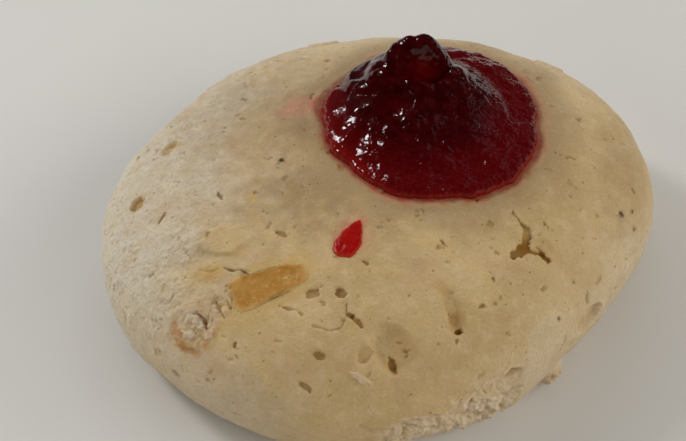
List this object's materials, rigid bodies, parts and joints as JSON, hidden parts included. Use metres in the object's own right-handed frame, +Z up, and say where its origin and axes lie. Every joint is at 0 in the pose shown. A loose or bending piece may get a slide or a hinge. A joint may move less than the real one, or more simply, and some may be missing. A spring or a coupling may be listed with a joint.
{
  "type": "strawberry cookie",
  "caption": "Thick, soft oval cookie of pale dough with a spooned dollop of strawberry jam, candied fruit bits in its skin and a broken crust along one rim.",
  "frame": {"origin": "on the flat underside, under the middle of the cookie's outline", "axes": "+Z up; -Y towards the side with the broken crust; +X to that side's right, towards the straighter part of the rim"},
  "size_m": [0.073, 0.0672, 0.0302],
  "materials": {
    "baked_dough": "matte baked dough, pale cream with a tan tint, fine pores and browned pits",
    "jam": "wet, glossy, dark strawberry jam with bright red thin edges",
    "red_fruit": "moist, saturated red candied fruit",
    "orange_peel": "satin candied orange peel just under the skin of the dough"
  },
  "bodies": {
    "root": {"cookie": "baked_dough", "strawberry_jam": "jam", "candied_fruit_red": "red_fruit", "candied_peel_orange": "orange_peel"}
  },
  "joints": []
}
